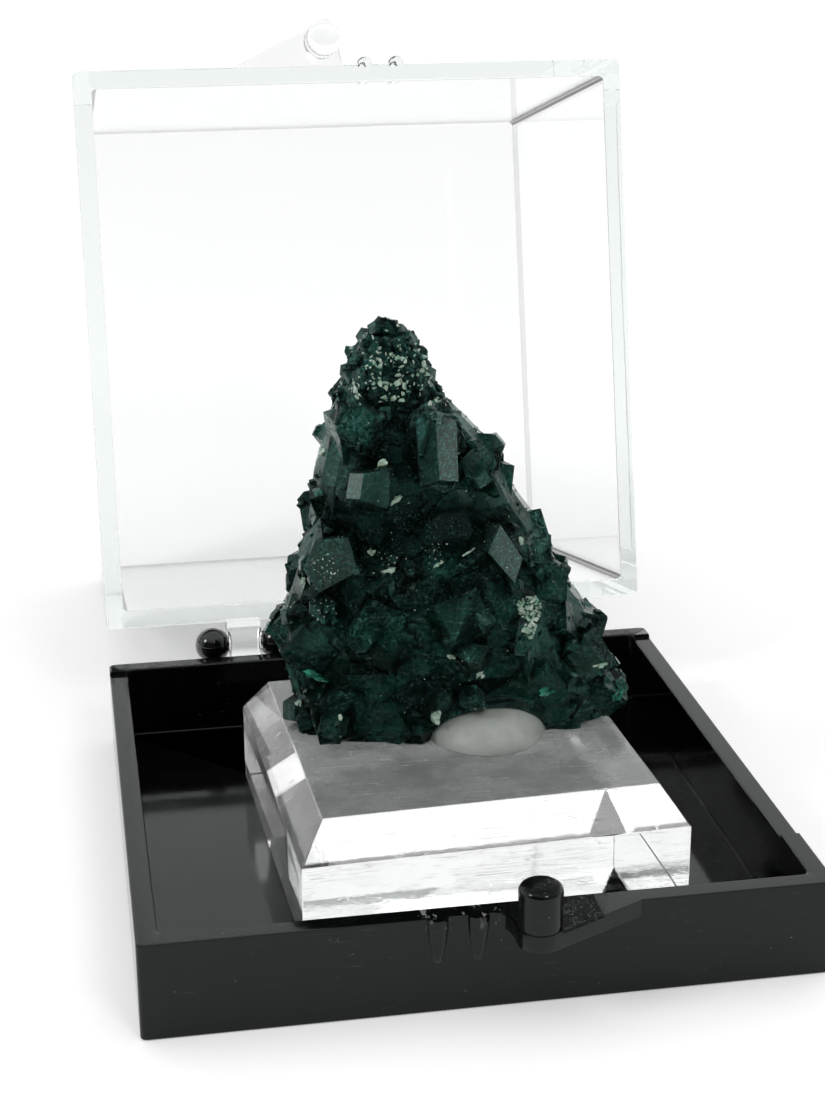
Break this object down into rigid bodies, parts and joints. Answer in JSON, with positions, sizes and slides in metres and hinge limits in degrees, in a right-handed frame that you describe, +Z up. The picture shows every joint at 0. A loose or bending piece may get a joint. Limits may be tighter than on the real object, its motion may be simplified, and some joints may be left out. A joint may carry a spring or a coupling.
{
  "type": "dioptase specimen in a hinged display box",
  "caption": "Dioptase crystal cluster held with putty on a clear acrylic block, inside a small black display box whose clear lid is hinged open.",
  "frame": {"origin": "centre of the tray's underside, on the surface the box stands on", "axes": "+Z up, +X across the box to the right as seen from the clasp side, +Y from the clasp towards the hinge"},
  "size_m": [0.057, 0.1229, 0.0713],
  "materials": {
    "black_styrene": "glossy moulded black plastic with light handling marks",
    "clear_acrylic": "polished clear plastic with fine scratches and dust",
    "grey_putty": "smooth pressed pale grey putty",
    "green_crystal": "glassy deep blue-green crystal faces with paler matrix grains",
    "clear_styrene": "polished clear moulded plastic"
  },
  "bodies": {
    "tray": {"box_tray": "black_styrene", "acrylic_base": "clear_acrylic", "putty": "grey_putty", "dioptase": "green_crystal"},
    "lid": {"box_lid": "clear_styrene"}
  },
  "joints": [
    {"name": "lid_hinge", "type": "hinge", "parent": "tray", "child": "lid", "pos_m": [0, 0.03084, 0.0089], "axis": [1, 0, 0], "range_deg": [0, 103.9]}
  ]
}
